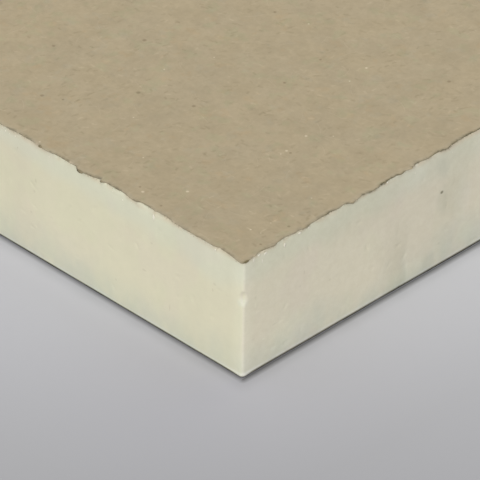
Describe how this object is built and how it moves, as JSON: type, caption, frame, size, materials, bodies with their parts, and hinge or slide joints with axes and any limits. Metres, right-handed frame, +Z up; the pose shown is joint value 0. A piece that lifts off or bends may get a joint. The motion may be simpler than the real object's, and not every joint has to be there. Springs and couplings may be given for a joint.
{
  "type": "polyiso roof insulation board",
  "caption": "Flat square rigid foam insulation board: pale closed-cell foam core with a tan fibre felt facer on each face and plain sawn square edges.",
  "frame": {"origin": "centre of the underside, on the surface that the board lies on", "axes": "+Z up through the thickness, out of the top facer; +X along the foaming line, square to a cross-cut end; +Y across the foaming line"},
  "size_m": [1.2214, 1.2212, 0.0508],
  "materials": {
    "facer": "matt tan fibre felt with paler fibres and small dark specks",
    "foam": "matt pale cream foam with a fine sawn grain"
  },
  "bodies": {
    "root": {"bottom_facer": "facer", "foam_core": "foam", "top_facer": "facer"}
  },
  "joints": []
}
